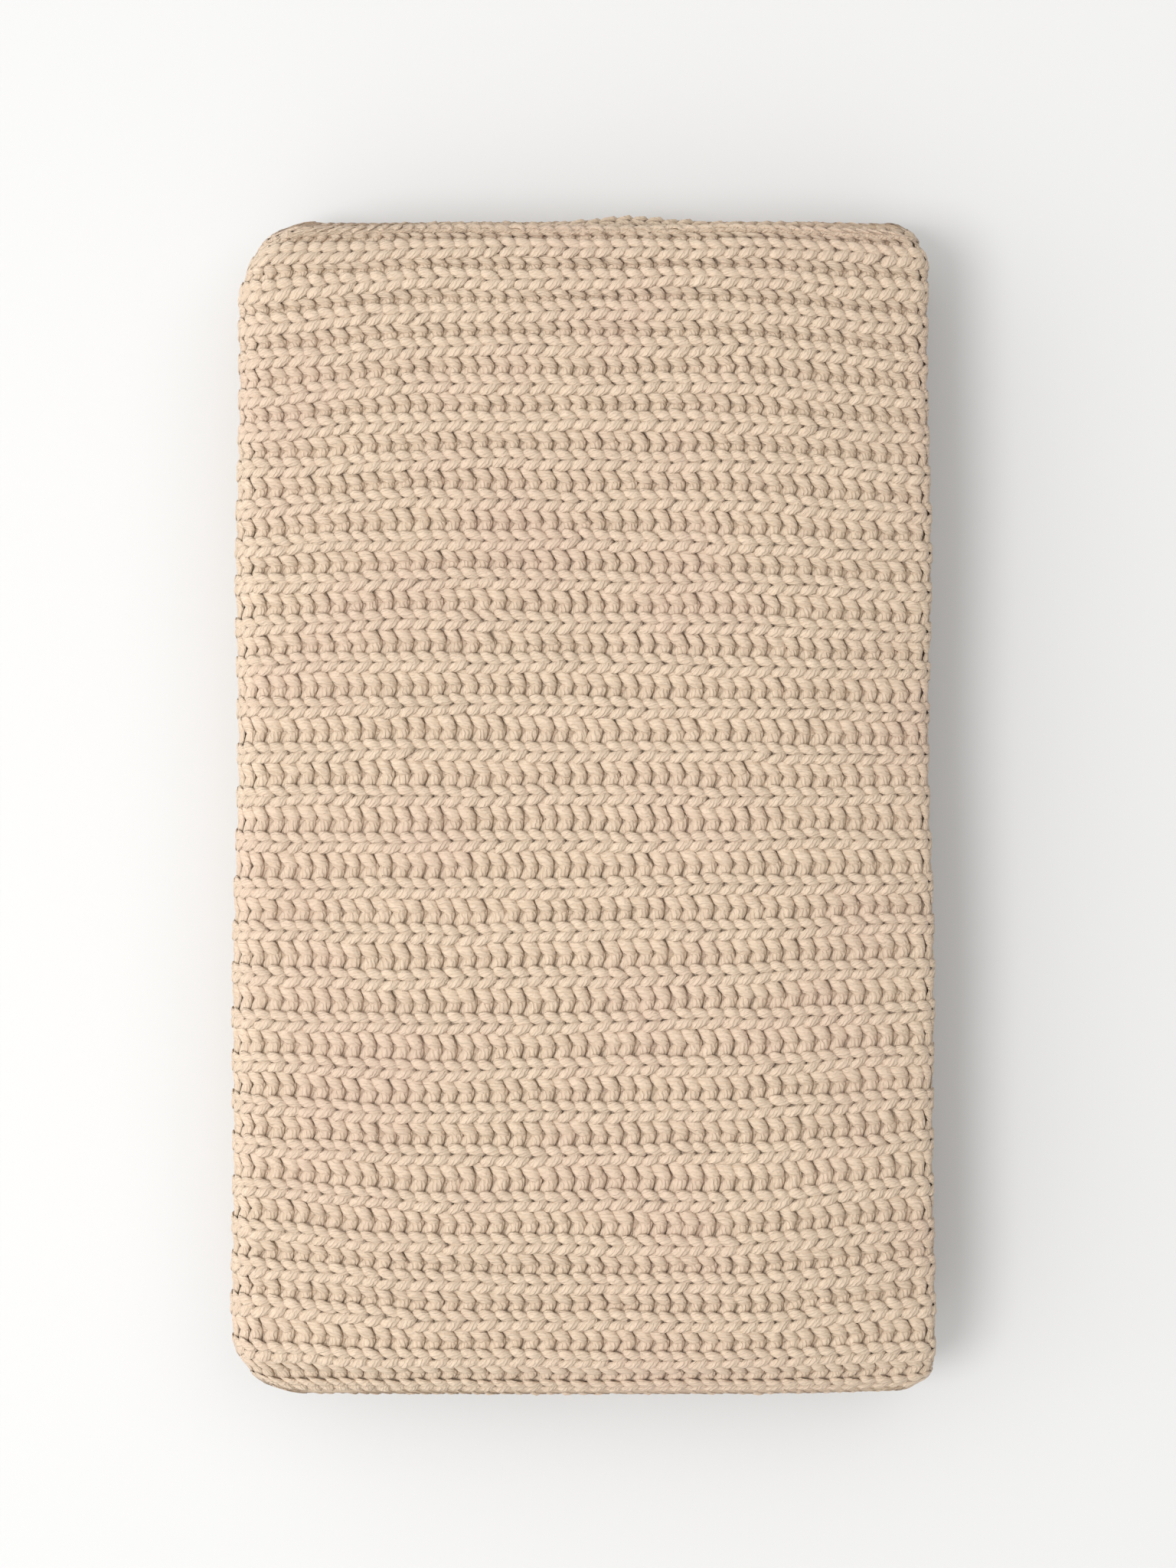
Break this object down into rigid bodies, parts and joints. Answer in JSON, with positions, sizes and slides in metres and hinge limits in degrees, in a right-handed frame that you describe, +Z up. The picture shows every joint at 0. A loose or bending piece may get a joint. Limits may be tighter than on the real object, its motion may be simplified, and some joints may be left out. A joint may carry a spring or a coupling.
{
  "type": "folded throw blanket",
  "caption": "Chunky rib-knit throw blanket folded in quarters across and in thirds along its length; its thirds open out one after the other.",
  "frame": {"origin": "centre of the footprint, at the underside of the bottom third", "axes": "+Z up through the stack, +Y along the folded length towards the roll between the bottom and middle thirds, +X across the width towards the side with the knit's free edges"},
  "size_m": [0.32, 0.535, 0.084],
  "materials": {
    "knit": "chunky plied beige yarn, matt with a soft fuzz"
  },
  "bodies": {
    "bottom_third": {"bottom_third_ply_1": "knit", "bottom_third_ply_2": "knit", "bottom_third_ply_3": "knit", "bottom_third_ply_4": "knit", "bottom_third_outer_fold": "knit", "bottom_third_inner_fold": "knit", "bottom_third_edge_fold": "knit"},
    "middle_third": {"middle_third_ply_1": "knit", "middle_third_ply_2": "knit", "middle_third_ply_3": "knit", "middle_third_ply_4": "knit", "middle_third_outer_fold": "knit", "middle_third_inner_fold": "knit", "middle_third_edge_fold": "knit"},
    "top_third": {"top_third_ply_1": "knit", "top_third_ply_2": "knit", "top_third_ply_3": "knit", "top_third_ply_4": "knit", "top_third_outer_fold": "knit", "top_third_inner_fold": "knit", "top_third_edge_fold": "knit"}
  },
  "joints": [
    {"name": "lower_length_fold", "type": "hinge", "parent": "bottom_third", "child": "middle_third", "pos_m": [0, 0.2675, 0.0279], "axis": [-1, 0, 0], "range_deg": [0, 180]},
    {"name": "upper_length_fold", "type": "hinge", "parent": "middle_third", "child": "top_third", "pos_m": [0, -0.2675, 0.0561], "axis": [1, 0, 0], "range_deg": [0, 180]}
  ]
}
